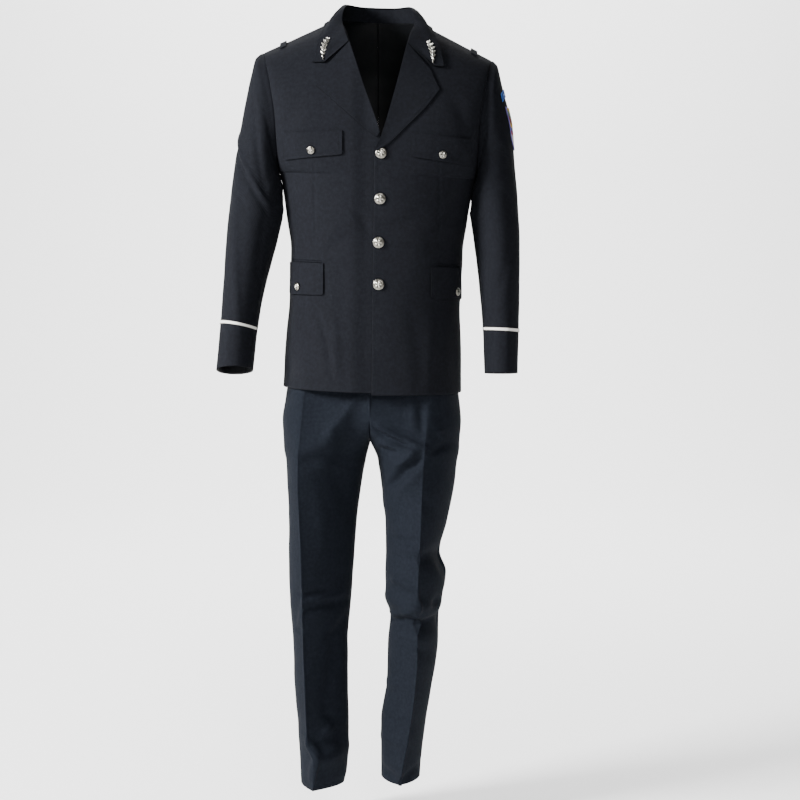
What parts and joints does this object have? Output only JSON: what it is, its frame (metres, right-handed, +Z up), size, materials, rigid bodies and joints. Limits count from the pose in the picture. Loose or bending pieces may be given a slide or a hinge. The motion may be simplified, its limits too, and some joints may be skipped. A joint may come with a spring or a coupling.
{
  "type": "service uniform suit",
  "caption": "Worn dark service uniform: notch-lapel jacket with flap pockets and cuff braid, over creased trousers, hollow and open at neck, cuffs and hems.",
  "frame": {"origin": "inside the base of the neck, on the line where the wearer's shoulders carry the jacket", "axes": "+Z up along the wearer's height, -Y to the front, +X to the wearer's left"},
  "size_m": [0.609, 0.2761, 1.581],
  "materials": {
    "jacket_cloth": "matte wool twill, near-black navy",
    "trouser_cloth": "matte wool twill with a slight sheen, blue-black",
    "nickel": "satin, embossed",
    "silver_braid": "woven off-white and silver thread",
    "blue_tab": "embroidered",
    "shield": "embroidered, several colours",
    "horn": "matte"
  },
  "bodies": {
    "root": {"jacket_front_left": "jacket_cloth", "jacket_front_right": "jacket_cloth", "jacket_back_left": "jacket_cloth", "jacket_back_right": "jacket_cloth", "sleeve_top_left": "jacket_cloth", "sleeve_top_right": "jacket_cloth", "sleeve_under_left": "jacket_cloth", "sleeve_under_right": "jacket_cloth", "collar_fall": "jacket_cloth", "collar_stand": "jacket_cloth", "lapel_left": "jacket_cloth", "lapel_right": "jacket_cloth", "chest_flap_left": "jacket_cloth", "chest_flap_right": "jacket_cloth", "hip_flap_left": "jacket_cloth", "hip_flap_right": "jacket_cloth", "front_button_1": "nickel", "front_button_2": "nickel", "front_button_3": "nickel", "front_button_4": "nickel", "chest_button_left": "nickel", "chest_button_right": "nickel", "hip_button_left": "nickel", "hip_button_right": "nickel", "cuff_braid_left": "silver_braid", "cuff_braid_right": "silver_braid", "collar_leaf_left": "nickel", "collar_leaf_right": "nickel", "shoulder_bridle_left": "jacket_cloth", "shoulder_bridle_right": "jacket_cloth", "sleeve_tab": "blue_tab", "sleeve_shield": "shield", "trouser_front_left": "trouser_cloth", "trouser_front_right": "trouser_cloth", "trouser_back_left": "trouser_cloth", "trouser_back_right": "trouser_cloth", "waistband": "trouser_cloth", "fly": "trouser_cloth", "waist_button": "horn"}
  },
  "joints": []
}
